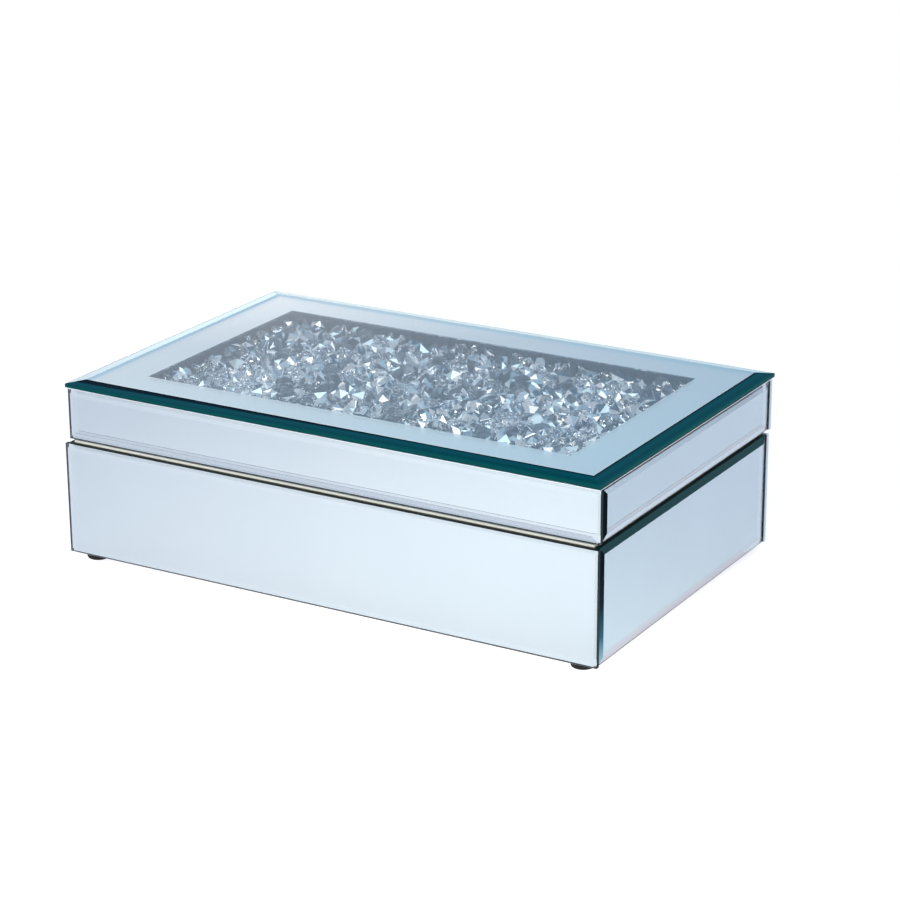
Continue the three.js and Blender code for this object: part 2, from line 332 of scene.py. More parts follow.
def velvet(name, low, high):
    n = Nodes(name)
    pile = n.noise(1900.0, 3.0, 0.7)
    nap = n.noise(26.0, 3.0, 0.6)
    mix = n.add("Mix", {"Factor": 0.65}, data_type="FLOAT")
    n.feed(mix.inputs[2], pile)
    n.feed(mix.inputs[3], nap)
    n.principled(
        Base_Color=n.between(mix.outputs[0], low, high),
        Roughness=n.remap(pile, 0.85, 1.0),
        Sheen_Weight=0.6,
        Sheen_Roughness=0.35,
        Sheen_Tint=(1.0, 0.98, 0.92),
        Normal=n.bump(mix.outputs[0], 0.5, 0.0004),
    )
    return n.material


def black_felt():
    n = Nodes("black_felt")
    fuzz = n.noise(1500.0, 5.0, 0.75)
    n.principled(
        Base_Color=n.between(fuzz, (0.008, 0.008, 0.010), (0.045, 0.045, 0.05)),
        Roughness=n.remap(fuzz, 0.9, 1.0),
        Normal=n.bump(fuzz, 0.6, 0.0004),
    )
    return n.material


def rubber():
    n = Nodes("foot_rubber")
    grain = n.noise(700.0, 4.0)
    n.principled(
        Base_Color=n.between(grain, (0.006, 0.006, 0.007), (0.020, 0.020, 0.022)),
        Roughness=n.remap(grain, 0.55, 0.8),
        Specular_IOR_Level=0.2,
        Normal=n.bump(grain, 0.25, 0.0002),
    )
    return n.material


def plated(name, low, high, rough):
    n = Nodes(name)
    brushed = n.add("Mapping", {"Vector": n.place(), "Scale": (60.0, 1400.0, 900.0)})
    lines = n.noise(1.0, 3.0, 0.6, vector=brushed.outputs[0])
    n.principled(
        Base_Color=n.between(lines, low, high),
        Metallic=1.0,
        Roughness=n.remap(lines, *rough),
        Normal=n.bump(lines, 0.15, 0.0001),
    )
    return n.material


GLASS = tinted_glass("clear_glass", (0.83, 0.945, 0.93), (0.86, 0.955, 0.94))
# The plate's gleam paints its surface reflections blue, with no red: painted reflection colour.
PLATE_GLASS = tinted_glass(
    "plate_glass", (0.95, 0.925, 0.905), (0.97, 0.935, 0.915), (0.0, 0.4, 1.0),
)
# The plate's back and left bevels: clear glass whose gleam dims their surface reflections to about
# half, painted shade on the reflection.
FAR_BEVEL = tinted_glass(
    "far_bevel", (0.83, 0.915, 0.905), (0.85, 0.925, 0.915), (0.50, 0.52, 0.56),
)
WINDOW_GLASS = tinted_glass(
    "window_glass", (0.97, 0.98, 0.98), (1.0, 1.0, 1.0), (0.0, 0.0, 0.0),
)
# Painted reflection on the plate's front and right bevels: opaque dark teal, graded across the
# bevel to near black at its inner line and shifted towards the left.
NEAR_BEVEL_PAINTED_REFLECTION = painted_reflection_glass("near_bevel_painted_reflection", plate_slope, [
    (0.00, (0.0010, 0.074, 0.080)),
    (0.30, (0.0008, 0.052, 0.068)),
    (0.60, (0.0030, 0.068, 0.088)),
    (0.84, (0.0020, 0.058, 0.078)),
    (0.92, (0.0008, 0.010, 0.020)),
])
# Painted reflection on the base end panels' upper bevels: opaque dark teal in place of clear
# glass.
UPPER_BEVEL_PAINTED_REFLECTION = opaque_painted_glass(
    "upper_bevel_painted_reflection", (0.003, 0.032, 0.036), (0.006, 0.046, 0.050), 0.03, (0.04, 0.12),
)
# Painted reflection on the end panels' bevel towards the front: opaque, pale blue at the feet,
# darkening to near black at the rim and over the lid.
CORNER_PAINTED_REFLECTION = painted_reflection_glass("corner_painted_reflection", corner_depth, [
    (0.00, (0.300, 0.480, 0.560)),
    (0.24, (0.030, 0.112, 0.145)),
    (0.50, (0.008, 0.018, 0.027)),
    (0.80, (0.003, 0.005, 0.010)),
    (1.00, (0.002, 0.006, 0.009)),
])
# Ground edges: the glass's own green with painted light and shade. The plate's edge is teal as if
# lit from the front; the back panels' edges are pale, painted light.
PLATE_EDGE = opaque_painted_glass("plate_edge", (0.001, 0.048, 0.050), (0.003, 0.074, 0.076), 0.02)
PALE_EDGE_PAINTED_LIGHT = opaque_painted_glass("pale_edge_painted_light", (0.40, 0.50, 0.58), (0.50, 0.60, 0.68), 0.3)
# The end panels' lower bevels: clear glass tinted pink instead of the panels' green, a painted
# colour on what they reflect.
LOWER_BEVEL_PAINTED_REFLECTION = tinted_glass("lower_bevel_painted_reflection", (0.80, 0.72, 0.69), (0.83, 0.75, 0.72))
# Painted reflection: a grey line on the lid panels' arris above the lower bevel, opaque.
BEVEL_LINE_PAINTED_REFLECTION = opaque_painted_glass("bevel_line_painted_reflection", (0.16, 0.18, 0.21), (0.22, 0.24, 0.27), 0.1)
# Painted shade: the front, left and right panels' edges, near black.
SIDE_EDGE_PAINTED_SHADE = opaque_painted_glass("side_edge_painted_shade", (0.001, 0.008, 0.008), (0.004, 0.022, 0.022), 0.05)
SILVER = silvering("silvering", (0.91, 0.93, 0.94), (0.95, 0.96, 0.97))
SIDE_SILVER = silvering("mirror_silver", (0.566, 0.563, 0.616), (0.596, 0.593, 0.646))
# Painted shade: the left and right panels' silver is a darker, bluer copy of the front and back
# panels'.
END_SILVER_PAINTED_SHADE = silvering("end_silver_painted_shade", (0.497, 0.545, 0.612), (0.525, 0.575, 0.642))
FOIL = tray_foil()
CLEAR = crystal("crystal_clear", (0.90, 0.93, 0.96), (0.98, 0.99, 1.0), 1.0, 0.0, (0.0, 0.02))
FOILED = crystal("crystal_foiled", (0.50, 0.56, 0.64), (0.96, 0.98, 1.0), 0.0, 1.0, (0.02, 0.05))
SMOKY = crystal("crystal_smoky", (0.04, 0.06, 0.09), (0.20, 0.25, 0.31), 0.0, 0.8, (0.04, 0.10))
BOARD = fibreboard()
VELVET = velvet("ivory_velvet", (0.50, 0.455, 0.36), (0.76, 0.71, 0.60))
# Painted light: a brighter copy of the ivory velvet for the rim linings, which sit in the shaded
# gap under the lid.
RIM_VELVET_PAINTED_LIGHT = velvet("rim_velvet_painted_light", (0.84, 0.82, 0.67), (0.99, 0.98, 0.86))
FELT = black_felt()
RUBBER = rubber()
NICKEL = plated("nickel", (0.55, 0.54, 0.50), (0.80, 0.78, 0.74), (0.12, 0.28))
STEEL = plated("screw_steel", (0.42, 0.43, 0.45), (0.70, 0.71, 0.73), (0.2, 0.4))

SLOT_MATERIALS = {
    "mirror_glass": SIDE_SILVER,
    "clear_glass": PLATE_GLASS,
    "silvering": SILVER,
    "tray_foil": FOIL,
    "crystal": FOILED,
    "fibreboard": BOARD,
    "ivory_velvet": VELVET,
    "black_felt": FELT,
    "foot_rubber": RUBBER,
    "nickel": NICKEL,
    "screw_steel": STEEL,
}


# ================================ mesh helpers ================================
def finish_piece(name, bm, materials, body, replaced=(), smooth=False):
    """Turns a bmesh into a piece that rides on a body and stands for CAD nodes."""
    bmesh.ops.recalc_face_normals(bm, faces=bm.faces)
    mesh = bpy.data.meshes.new(name)
    bm.to_mesh(mesh)
    bm.free()
    for material in materials:
        mesh.materials.append(material)
    for polygon in mesh.polygons:
        polygon.use_smooth = smooth
    if smooth:
        mesh.set_sharp_from_angle(angle=math.radians(38))
    piece = bpy.data.objects.new(name, mesh)
    bpy.context.scene.collection.objects.link(piece)
    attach(piece, body)
    if replaced:
        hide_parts(*replaced)
    return piece


def ring(bm, half_u, half_v, height):
    """Four corner vertices of a rectangle in the panel's own frame."""
    corners = [(-half_u, -half_v), (half_u, -half_v), (half_u, half_v), (-half_u, half_v)]
    return [bm.verts.new((u, v, height)) for u, v in corners]


def bridge(bm, lower, upper):
    for i in range(len(lower)):
        j = (i + 1) % len(lower)
        bm.faces.new((lower[i], lower[j], upper[j], upper[i]))


def panel_mesh(width, height, thickness, bevel, drop, window=None):
    """A glass panel that lies on its back at 0, with a mitred ground bevel and a fine arris
    on every edge. The back is silvered, except in the window."""
    bm = bmesh.new()
    back = ring(bm, width / 2, height / 2, 0.0)
    edge = ring(bm, width / 2, height / 2, thickness - drop)
    front = ring(bm, width / 2 - bevel, height / 2 - bevel, thickness)
    bridge(bm, back, edge)
    bridge(bm, edge, front)
    bm.faces.new(front)
    bm.faces.new(list(reversed(back)))
    bmesh.ops.recalc_face_normals(bm, faces=bm.faces)
    bmesh.ops.bevel(bm, geom=list(bm.edges), offset=ARRIS, segments=2, affect="EDGES", profile=0.5)
    bmesh.ops.recalc_face_normals(bm, faces=bm.faces)
    for face in bm.faces:
        if face.normal.z < FLAT_BACK:
            face.material_index = BACK
        elif abs(face.normal.z) < UPRIGHT:
            face.material_index = EDGE
    if window:
        backs = [face for face in bm.faces if face.normal.z < FLAT_BACK]
        cut_window(bm, max(backs, key=lambda face: face.calc_area()), window)
    return bm


def cut_window(bm, face, window):
    """Divides a back face into a silvered border and a clear window."""
    outer = list(face.verts)
    bm.faces.remove(face)
    inner = ring(bm, window[0] / 2, window[1] / 2, 0.0)
    pairs = []
    for vert in inner:
        nearest = min(outer, key=lambda o: (o.co - vert.co).length)
        pairs.append(nearest)
    for i in range(4):
        j = (i + 1) % 4
        border = bm.faces.new((pairs[i], pairs[j], inner[j], inner[i]))
        border.material_index = BACK
    bm.faces.new(inner).material_index = CLEAR_BACK


def mark_bevels(bm, body, outward):
    """Gives a side panel's bevels their materials, while it lies on its back with its top
    towards Y. The base's end panels' upper bevel takes a painted dark reflection, the end panels'
    bevel towards the front a painted reflection graded by height, and their lower bevel a
    pink-tinted glass, a painted reflection colour; on the lid a painted grey line marks the arris
    above the lower bevel."""
    for face in bm.faces:
        normal = face.normal
        if body == "lid" and ARRIS_LEVEL[0] < normal.z < ARRIS_LEVEL[1] and normal.y < -ARRIS_TILT:
            face.material_index = LINE
        if abs(outward.x) > 0.5 and UPRIGHT < normal.z < LEVEL:
            if normal.x * outward.x < -TILT:
                face.material_index = FORWARD
            elif body == "base" and normal.y > TILT:
                face.material_index = UPPER
            elif normal.y < -TILT:
                face.material_index = LOWER


def glass_side(node, body, outward):
    """A mirrored side panel in its CAD node's place, facing outward."""
    low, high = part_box(node)
    size = high - low
    if abs(outward.x) > 0.5:
        width, thickness = size.y, size.x
    else:
        width, thickness = size.x, size.y
    bm = panel_mesh(width, size.z, thickness, SIDE_BEVEL, SIDE_DROP)
    mark_bevels(bm, body, outward)
    across = Vector((0, 0, 1)).cross(outward)
    turn = Matrix((across, Vector((0, 0, 1)), outward)).transposed().to_4x4()
    centre = (low + high) / 2 - outward * (thickness / 2)
    bmesh.ops.transform(bm, matrix=Matrix.Translation(centre) @ turn, verts=bm.verts)
    name = node.replace("mirror", "glass")
    # The left and right panels take the darker, bluer silver: painted shade.
    silver = END_SILVER_PAINTED_SHADE if abs(outward.x) > 0.5 else SIDE_SILVER
    # The back panels' edges take painted light, the others painted shade.
    edge = PALE_EDGE_PAINTED_LIGHT if outward.y > 0.5 else SIDE_EDGE_PAINTED_SHADE
    materials = [GLASS, silver, edge, UPPER_BEVEL_PAINTED_REFLECTION, CORNER_PAINTED_REFLECTION, LOWER_BEVEL_PAINTED_REFLECTION, BEVEL_LINE_PAINTED_REFLECTION]
    return finish_piece(name, bm, materials, body, [node])


def top_plate():
    low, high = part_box("top_plate")
    size = high - low
    bm = panel_mesh(size.x, size.y, size.z, PLATE_BEVEL, PLATE_DROP, WINDOW)
    for face in bm.faces:
        # The bevels that face the front and right take the painted reflection, those that face the
        # back and left the clear far-bevel glass.
        if UPRIGHT < face.normal.z < LEVEL:
            near = face.normal.y < -TILT or face.normal.x > TILT
            face.material_index = NEAR if near else FAR
    centre = Vector(((low.x + high.x) / 2, (low.y + high.y) / 2, low.z))
    bmesh.ops.transform(bm, matrix=Matrix.Translation(centre), verts=bm.verts)
    materials = [PLATE_GLASS, SILVER, PLATE_EDGE, NEAR_BEVEL_PAINTED_REFLECTION, FAR_BEVEL, WINDOW_GLASS]
    return finish_piece("top_glass_plate", bm, materials, "lid", ["top_plate"])


# ================================ crystals ================================
def settle(count, low, high, sizes):
    """Drops balls into a shallow tray and pushes them apart: their centres and radii."""
    radii = RNG.uniform(sizes[0], sizes[1], count) * CRYSTAL_REACH
    span = np.array(high) - np.array(low)
    cells = np.arange(count)
    places = np.array(low) + np.stack([
        (cells * SPREAD[0] + RNG.random(count) * SPREAD_JITTER) % 1.0,
        (cells * SPREAD[1] + RNG.random(count) * SPREAD_JITTER) % 1.0,
        RNG.random(count),
    ], axis=1) * span
    for _ in range(SETTLE_STEPS):
        places[:, 2] -= SETTLE_DROP
        gap = places[:, None, :] - places[None, :, :]
        distance = np.linalg.norm(gap, axis=2) + 1e-9
        reach = radii[:, None] + radii[None, :]
        overlap = np.clip(reach - distance, 0, None)
        np.fill_diagonal(overlap, 0)
        push = (gap / distance[..., None]) * overlap[..., None] * SETTLE_PUSH
        places += push.sum(axis=1)
        for axis in range(3):
            places[:, axis] = np.clip(places[:, axis], low[axis] + radii, high[axis] - radii)
    return places, radii


def diamond(bm, centre, size, turn, material):
    """A brilliant: a flat table, a crown of facets, a girdle and a pointed pavilion."""
    girdle_radius = size / 2
    table_radius = girdle_radius * CRYSTAL_TABLE
    crown = size * CRYSTAL_CROWN
    pavilion = size * CRYSTAL_PAVILION
    half = math.pi / CRYSTAL_FACETS

    def circle(radius, height, phase):
        verts = []
        for i in range(CRYSTAL_FACETS):
            angle = 2 * half * i + phase
            point = Vector((radius * math.cos(angle), radius * math.sin(angle), height))
            verts.append(bm.verts.new(centre + turn @ point))
        return verts

    middle = (crown - pavilion) / 2
    table = circle(table_radius, crown - middle, half)
    upper = circle(girdle_radius, -middle + size * CRYSTAL_GIRDLE, 0)
    lower = circle(girdle_radius, -middle - size * CRYSTAL_GIRDLE, 0)
    tip = bm.verts.new(centre + turn @ Vector((0, 0, -pavilion - middle)))
    faces = [bm.faces.new(table)]
    for i in range(CRYSTAL_FACETS):
        j = (i + 1) % CRYSTAL_FACETS
        faces.append(bm.faces.new((upper[i], upper[j], table[i])))
        faces.append(bm.faces.new((table[i], upper[j], table[j])))
        faces.append(bm.faces.new((lower[i], lower[j], upper[j], upper[i])))
        faces.append(bm.faces.new((lower[j], lower[i], tip)))
    for face in faces:
        face.material_index = material


def random_turn():
    q = RNG.normal(size=4)
    q /= np.linalg.norm(q)
    return Quaternion(q).to_matrix()


def crystals():
    low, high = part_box("crystal_bed")
    places, radii = settle(CRYSTAL_COUNT, low, high, CRYSTAL_SIZES)
    bm = bmesh.new()
    for place, radius in zip(places, radii):
        size = radius / CRYSTAL_REACH
        turn = random_turn()
        draw = RNG.random()
        kind = 1 if draw < FOILED_SHARE else 2 if draw < FOILED_SHARE + SMOKY_SHARE else 0
        centre = Vector(place)
        diamond(bm, centre, size, turn, kind)
    inside_box(bm, low, high)
    kinds = [CLEAR, FOILED, SMOKY]
    return finish_piece("loose_crystals", bm, kinds, "lid", ["crystal_bed"])


def inside_box(bm, low, high):
    """Moves any point that sticks out of the tray back to its wall."""
    for vert in bm.verts:
        for axis in range(3):
            vert.co[axis] = min(max(vert.co[axis], low[axis]), high[axis])


# ================================ soft pieces ================================
def grid_lines(low, high, cell, soft):
    """Cuts along one axis: close together round the soft ends, then one per cell."""
    ends = np.array([0.0, 0.30, 0.65]) * soft
    count = max(2, round((high - low - 2 * soft) / cell) + 1)
    inner = np.linspace(low + soft, high - soft, count)
    return np.concatenate([low + ends, inner, high - ends[::-1]])


def soft_box(bm, low, high, cell, soft):
    """A closed box of small quads whose edges and corners are rounded to a radius."""
    low, high = np.array(low), np.array(high)
    cuts = [grid_lines(low[axis], high[axis], cell, soft) for axis in range(3)]
    made = {}

    def vert(key):
        if key not in made:
            point = np.array([cuts[axis][key[axis]] for axis in range(3)])
            inner = np.clip(point, low + soft, high - soft)
            away = point - inner
            reach = np.linalg.norm(away)
            made[key] = bm.verts.new(inner + away / reach * soft)
        return made[key]

    for axis in range(3):
        u, v = (axis + 1) % 3, (axis + 2) % 3
        for end in (0, len(cuts[axis]) - 1):
            for i in range(len(cuts[u]) - 1):
                for j in range(len(cuts[v]) - 1):
                    corners = []
                    for di, dj in ((0, 0), (1, 0), (1, 1), (0, 1)):
                        key = [0, 0, 0]
                        key[axis], key[u], key[v] = end, i + di, j + dj
                        corners.append(vert(tuple(key)))
                    bm.faces.new(corners)
    bmesh.ops.recalc_face_normals(bm, faces=bm.faces)


def inflate(bm, held, most):
    """Blows a closed mesh up as cloth, with the held vertices pinned, then scales the
    movement down so that no point has moved further than most."""
    mesh = bpy.data.meshes.new("pad_start")
    bm.to_mesh(mesh)
    item = bpy.data.objects.new("pad_start", mesh)
    bpy.context.scene.collection.objects.link(item)
    pins = item.vertex_groups.new(name="pins")
    pins.add(held, 1.0, "REPLACE")
    cloth = item.modifiers.new("cloth", "CLOTH")
    cloth.settings.vertex_group_mass = "pins"
    cloth.settings.use_pressure = True
    cloth.settings.uniform_pressure_force = CLOTH_PRESSURE
    cloth.settings.effector_weights.gravity = 0.0
    cloth.point_cache.frame_start = 1
    cloth.point_cache.frame_end = CLOTH_FRAMES
    for step in range(1, CLOTH_FRAMES + 1):
        bpy.context.scene.frame_set(step)
    posed = item.evaluated_get(bpy.context.evaluated_depsgraph_get()).to_mesh()
    moved = np.array([vert.co[:] for vert in posed.vertices])
    start = np.array([vert.co[:] for vert in bm.verts])
    shift = moved - start
    furthest = np.linalg.norm(shift, axis=1).max()
    shift *= min(1.0, most / max(furthest, 1e-9))
    for vert, step in zip(bm.verts, shift):
        vert.co += Vector(step)
    bpy.data.objects.remove(item)
    bpy.context.scene.frame_set(1)


def crease(bm, inset, depth, outward, low, high):
    """Draws the cloth in along a seam line that runs round the pad, inset from its edge."""
    for vert in bm.verts:
        edge = min(vert.co.x - low.x, high.x - vert.co.x, vert.co.y - low.y, high.y - vert.co.y)
        near = math.exp(-(((edge - inset) / PAD_SEAM_WIDTH) ** 2))
        if (vert.co.z - (low.z + high.z) / 2) * outward > 0:
            vert.co.z -= outward * depth * near


def ripple(bm, height, size):
    """Slight unevenness of hand-laid velvet, always into the piece."""
    bm.normal_update()
    moves = []
    for vert in bm.verts:
        wave = noise.noise(vert.co / size) * 0.5 + 0.5
        moves.append(-vert.normal * wave * height)
    for vert, move in zip(bm.verts, moves):
        vert.co += move


def velvet_pad(node, body, face, start, rise):
    """A thin padded panel: its back is glued down, and its face (1 up, -1 down) swells."""
    low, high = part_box(node)
    low, high = low.copy(), high.copy()
    inset = Vector((PAD_SIDE_ROOM, PAD_SIDE_ROOM, 0))
    low += inset
    high -= inset
    if face > 0:
        high.z = low.z + start
    else:
        low.z = high.z - start
    bm = bmesh.new()
    soft_box(bm, low, high, PAD_CELL, start * PAD_ROUND)
    back = low.z if face > 0 else high.z
    held = [i for i, vert in enumerate(bm.verts) if abs(vert.co.z - back) < 0.05 * MM]
    inflate(bm, held, rise)
    crease(bm, PAD_SEAM_INSET, PAD_SEAM_DEPTH, face, low, high)
    ripple(bm, *PAD_RIPPLE)
    piece = finish_piece(f"{node}_velvet", bm, [VELVET], body, [node], smooth=True)
    piece.modifiers.new("soft", "SUBSURF").levels = 1
    piece.modifiers["soft"].render_levels = 1
    return piece


def covered_board(node, body, soft, cell=6 * MM, gaps=(), cover=VELVET, slot="ivory_velvet"):
    """Velvet or felt bonded to a thin board. Each gap (low x, high x, front y) is a notch
    cut in from the back."""
    low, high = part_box(node)
    bm = bmesh.new()
    if gaps:
        outline = [(low.x, low.y), (high.x, low.y), (high.x, high.y)]
        for gap_low, gap_high, gap_front in reversed(gaps):
            outline += [(gap_high, high.y), (gap_high, gap_front)]
            outline += [(gap_low, gap_front), (gap_low, high.y)]
        outline.append((low.x, high.y))
        slab(bm, outline, low.z, high.z, soft)
    else:
        soft_box(bm, low, high, cell, soft)
        ripple(bm, *BOARD_RIPPLE)
    ending = slot.split("_")[1]
    return finish_piece(f"{node}_{ending}", bm, [cover], body, [node], smooth=True)


# ================================ hard detail ================================
def slab(bm, outline, low, high, soft, segments=3):
    """A flat plate over an outline in X and Y, with every edge rounded."""
    bottom = [bm.verts.new((x, y, low)) for x, y in outline]
    top = [bm.verts.new((x, y, high)) for x, y in outline]
    bridge(bm, bottom, top)
    bm.faces.new(top)
    bm.faces.new(list(reversed(bottom)))
    bmesh.ops.recalc_face_normals(bm, faces=bm.faces)
    bmesh.ops.bevel(
        bm, geom=list(bm.edges), offset=soft, segments=segments, profile=0.5, affect="EDGES",
        clamp_overlap=True,
    )


def lathe(bm, profile, sides=48):
    """Turns a profile of (radius, height) round Z. An end on the axis closes the solid."""
    rings = []
    for radius, height in profile:
        if radius < 1e-9:
            rings.append([bm.verts.new((0, 0, height))])
            continue
        loop = []
        for i in range(sides):
            angle = 2 * math.pi * i / sides
            loop.append(bm.verts.new((radius * math.cos(angle), radius * math.sin(angle), height)))
        rings.append(loop)
    for lower, upper in zip(rings, rings[1:]):
        for i in range(sides):
            j = (i + 1) % sides
            corners = [lower[i % len(lower)], lower[j % len(lower)]]
            corners += [upper[j % len(upper)], upper[i % len(upper)]]
            face = list(dict.fromkeys(corners))
            if len(face) > 2:
                bm.faces.new(face)
    bmesh.ops.recalc_face_normals(bm, faces=bm.faces)


def fillet(radius_out, height_out, soft, turn_from, turn_to, steps=5):
    """Points of a quarter round, between two angles in degrees, for a lathe's profile."""
    points = []
    for i in range(steps + 1):
        angle = math.radians(turn_from + (turn_to - turn_from) * i / steps)
        points.append((radius_out + soft * math.cos(angle), height_out + soft * math.sin(angle)))
    return points


def carve(bm, tools, operation):
    """Cuts closed meshes from a closed mesh, or joins them to it, exactly."""
    made = []
    for name, source in [("work", bm)] + [(f"tool_{i}", tool) for i, tool in enumerate(tools)]:
        mesh = bpy.data.meshes.new(name)
        source.to_mesh(mesh)
        source.free()
        item = bpy.data.objects.new(name, mesh)
        bpy.context.scene.collection.objects.link(item)
        made.append(item)
    for tool in made[1:]:
        modifier = made[0].modifiers.new("carve", "BOOLEAN")
        modifier.operation = operation
        modifier.solver = "EXACT"
        modifier.object = tool
    result = bmesh.new()
    bpy.context.view_layer.update()
    result.from_mesh(made[0].evaluated_get(bpy.context.evaluated_depsgraph_get()).to_mesh())
    for item in made:
        bpy.data.objects.remove(item)
    return result


def rubber_foot(node):
    """A moulded puck: tapered, rounded underneath, with a shallow dimple."""
    low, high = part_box(node)
    radius = (high.x - low.x) / 2
    height = high.z - low.z
    foot = radius - FOOT_TAPER
    profile = [(0, FOOT_DIMPLE), (foot * 0.30, FOOT_DIMPLE)]
    profile += [(foot * 0.42, FOOT_DIMPLE * 0.4), (foot * 0.50, 0.0)]
    profile += fillet(foot - FOOT_ROUND, FOOT_ROUND, FOOT_ROUND, -90, 0)
    profile += fillet(radius - 0.3 * MM, height - 0.3 * MM, 0.3 * MM, 0, 90)
    profile.append((0, height))
    bm = bmesh.new()
    lathe(bm, profile)
    centre = Vector(((low.x + high.x) / 2, (low.y + high.y) / 2, low.z))
    bmesh.ops.transform(bm, matrix=Matrix.Translation(centre), verts=bm.verts)
    return finish_piece(f"{node}_rubber", bm, [RUBBER], "base", [node], smooth=True)


ALONG_X = Matrix.Rotation(math.pi / 2, 4, "Y")


def rod(radius, length, soft, x=0.0, hole=0.0):
    """A round bar along X with rounded ends, or a tube when it has a hole."""
    half = length / 2
    bm = bmesh.new()
    if hole:
        profile = [(hole, -half)] + fillet(radius - soft, -half + soft, soft, -90, 0, 3)
        profile += fillet(radius - soft, half - soft, soft, 0, 90, 3)
        profile += [(hole, half), (hole, -half)]
    else:
        profile = [(0, -half)] + fillet(radius - soft, -half + soft, soft, -90, 0, 3)
        profile += fillet(radius - soft, half - soft, soft, 0, 90, 3) + [(0, half)]
    lathe(bm, profile, 40)
    if hole:
        bmesh.ops.remove_doubles(bm, verts=bm.verts, dist=1e-7)
        bmesh.ops.recalc_face_normals(bm, faces=bm.faces)
    bmesh.ops.transform(bm, matrix=Matrix.Translation((x, 0, 0)) @ ALONG_X, verts=bm.verts)
    return bm


def round_corner(x, y, radius, start, steps=5):
    """Outline points of a quarter circle round (x, y), from an angle in degrees."""
    return [
        (x + radius * math.cos(math.radians(start + 90 * i / steps)),
         y + radius * math.sin(math.radians(start + 90 * i / steps)))
        for i in range(steps + 1)
    ]


def hinge_leaf(node, body):
    """A stamped leaf: rounded corners, rolled knuckles and two countersunk holes. It is
    made round its pin's middle and then put in its node's place."""
    low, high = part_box(node)
    pin_low, pin_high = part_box(node.rsplit("_", 2)[0] + "_pin")
    pin = (pin_low + pin_high) / 2
    half = (high.x - low.x) / 2
    front = low.y - pin.y
    is_base = body == "base"
    leaf_low = -HINGE_GAP / 2 - HINGE_LEAF if is_base else HINGE_GAP / 2
    leaf_high = leaf_low + HINGE_LEAF
    radius = high.y - pin.y
    back = -radius - HINGE_CLEARANCE
    pitch = 2 * half / KNUCKLES
    length = pitch - KNUCKLE_GAP
    outline = round_corner(-half + LEAF_CORNER, front + LEAF_CORNER, LEAF_CORNER, 180)
    outline += round_corner(half - LEAF_CORNER, front + LEAF_CORNER, LEAF_CORNER, 270)
    outline.append((half, back))
    own = range(0 if is_base else 1, KNUCKLES, 2)
    for i in reversed(own):
        x = (i - (KNUCKLES - 1) / 2) * pitch
        right, left = x + length / 2, x - length / 2
        if right < half - 0.2 * MM:
            outline.append((right, back))
        else:
            outline.pop()
            outline.append((right, back - KNUCKLE_GAP))
        outline += [(right, -PIN_HOLE - 0.25 * MM), (left, -PIN_HOLE - 0.25 * MM)]
        if left > -half + 0.2 * MM:
            outline.append((left, back))
    if not is_base:
        outline.append((-half, back))
    bm = bmesh.new()
    slab(bm, outline, leaf_low, leaf_high, 0.07 * MM, 2)
    cutters = []
    for x in (-SCREW_SPREAD, SCREW_SPREAD):
        cone = bmesh.new()
        wide, narrow = SCREW_HEAD + 0.15 * MM, SCREW_HEAD - 0.30 * MM
        past = 0.05 * MM
        below, above = (narrow, wide) if is_base else (wide, narrow)
        shape = [(0, leaf_low - past), (below, leaf_low - past)]
        shape += [(above, leaf_high + past), (0, leaf_high + past)]
        lathe(cone, shape, 40)
        y = SCREW_PLACE[body]
        bmesh.ops.transform(cone, matrix=Matrix.Translation((x, y, 0)), verts=cone.verts)
        cutters.append(cone)
    bm = carve(bm, cutters, "DIFFERENCE")
    middles = [(i - (KNUCKLES - 1) / 2) * pitch for i in own]
    knuckles = [rod(radius, length, 0.12 * MM, x, PIN_HOLE) for x in middles]
    bm = carve(bm, knuckles, "UNION")
    bmesh.ops.transform(bm, matrix=Matrix.Translation(pin), verts=bm.verts)
    return finish_piece(f"{node}_stamped", bm, [NICKEL], body, [node], smooth=True)


def hinge_pin(node):
    low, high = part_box(node)
    bm = rod((high.z - low.z) / 2, high.x - low.x, 0.3 * MM)
    bmesh.ops.transform(bm, matrix=Matrix.Translation((low + high) / 2), verts=bm.verts)
    return finish_piece(f"{node}_turned", bm, [STEEL], "base", [node], smooth=True)


